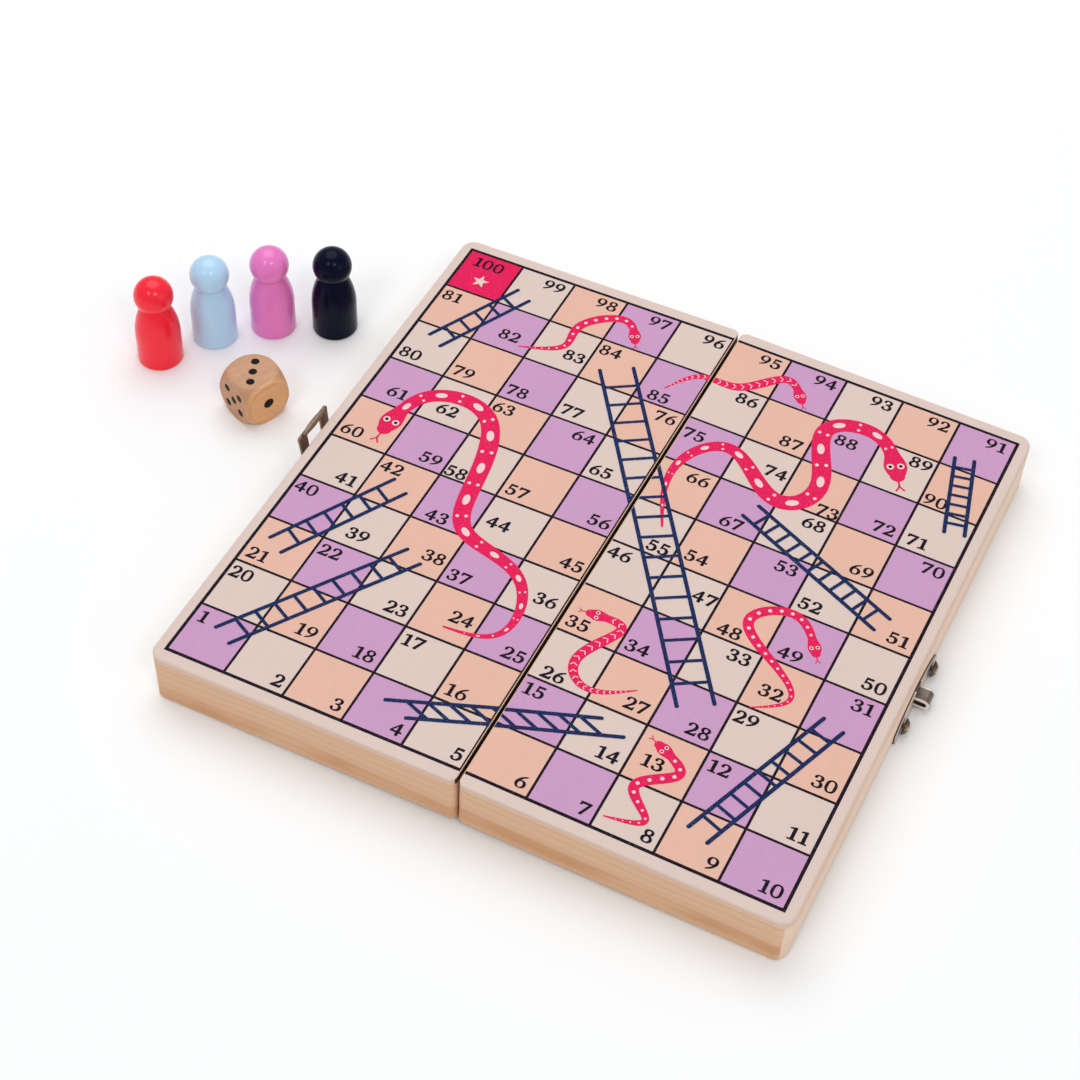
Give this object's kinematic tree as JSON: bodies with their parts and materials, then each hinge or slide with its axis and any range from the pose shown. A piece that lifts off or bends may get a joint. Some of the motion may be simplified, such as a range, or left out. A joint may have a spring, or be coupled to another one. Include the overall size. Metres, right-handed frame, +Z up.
{
  "type": "snakes and ladders board",
  "caption": "Folding wooden snakes and ladders board with hinged tray halves, hasp and keeper latch, turned pawns and a die.",
  "frame": {"origin": "on the table, under the middle of the fold line between the two halves", "axes": "+X from the fold line to the keeper's side, +Y from the front edge with square 1 to the back edge with square 100, +Z up from the table"},
  "size_m": [0.2976, 0.2092, 0.0351],
  "materials": {
    "play_panel": "smooth pale plywood under a thin matt lacquer",
    "pine": "planed pine with fine darker grain lines",
    "lilac_ink": "printed ink film, matt",
    "peach_ink": "printed ink film, matt",
    "black_ink": "printed ink film, matt",
    "navy_ink": "printed ink film, matt",
    "pink_ink": "printed ink film, matt",
    "hinge_metal": "plated, slightly dull",
    "hasp_metal": "antique bronze plating, satin",
    "keeper_metal": "nickel plating, satin",
    "red_paint": "turned wood under satin paint",
    "light_blue_paint": "turned wood under satin paint",
    "pink_paint": "turned wood under satin paint",
    "navy_paint": "turned wood under satin paint",
    "die_wood": "bare varnished wood",
    "pip_paint": "black paint"
  },
  "bodies": {
    "left_half": {"left_panel": "play_panel", "left_front_rail": "pine", "left_back_rail": "pine", "left_outer_rail": "pine", "left_inner_rail": "pine", "left_lilac_squares": "lilac_ink", "left_peach_squares": "peach_ink", "left_grid_lines": "black_ink", "left_ladders": "navy_ink", "left_snakes": "pink_ink", "left_hinge_leaves": "hinge_metal", "left_hinge_screws": "hinge_metal", "finish_square": "pink_ink", "hinge_pins": "hinge_metal", "hasp_plate": "hasp_metal", "hasp_plate_screws": "hasp_metal", "hasp_pin": "hasp_metal"},
    "right_half": {"right_panel": "play_panel", "right_front_rail": "pine", "right_back_rail": "pine", "right_outer_rail": "pine", "right_inner_rail": "pine", "right_lilac_squares": "lilac_ink", "right_peach_squares": "peach_ink", "right_grid_lines": "black_ink", "right_ladders": "navy_ink", "right_snakes": "pink_ink", "right_hinge_leaves": "hinge_metal", "right_hinge_screws": "hinge_metal", "keeper": "keeper_metal", "keeper_screws": "keeper_metal"},
    "hasp": {"hasp": "hasp_metal"},
    "red_pawn": {"pawn_red": "red_paint"},
    "blue_pawn": {"pawn_blue": "light_blue_paint"},
    "pink_pawn": {"pawn_pink": "pink_paint"},
    "navy_pawn": {"pawn_navy": "navy_paint"},
    "die": {"die": "die_wood", "die_pips": "pip_paint"}
  },
  "joints": [
    {"name": "fold", "type": "hinge", "parent": "left_half", "child": "right_half", "pos_m": [0, 0, 0.00155], "axis": [0, 1, 0], "range_deg": [-2.7, 178.16]},
    {"name": "hasp_swing", "type": "hinge", "parent": "left_half", "child": "hasp", "pos_m": [-0.10625, 0, 0.00705], "axis": [0, -1, 0], "range_deg": [-6, 174]},
    {"name": "red_pawn_lift", "type": "slide", "parent": "left_half", "child": "red_pawn", "axis": [0, 0, 1], "range_m": [0, 0.06]},
    {"name": "blue_pawn_lift", "type": "slide", "parent": "left_half", "child": "blue_pawn", "axis": [0, 0, 1], "range_m": [0, 0.06]},
    {"name": "pink_pawn_lift", "type": "slide", "parent": "left_half", "child": "pink_pawn", "axis": [0, 0, 1], "range_m": [0, 0.06]},
    {"name": "navy_pawn_lift", "type": "slide", "parent": "left_half", "child": "navy_pawn", "axis": [0, 0, 1], "range_m": [0, 0.06]},
    {"name": "die_lift", "type": "slide", "parent": "left_half", "child": "die", "axis": [0, 0, 1], "range_m": [0, 0.06]}
  ]
}
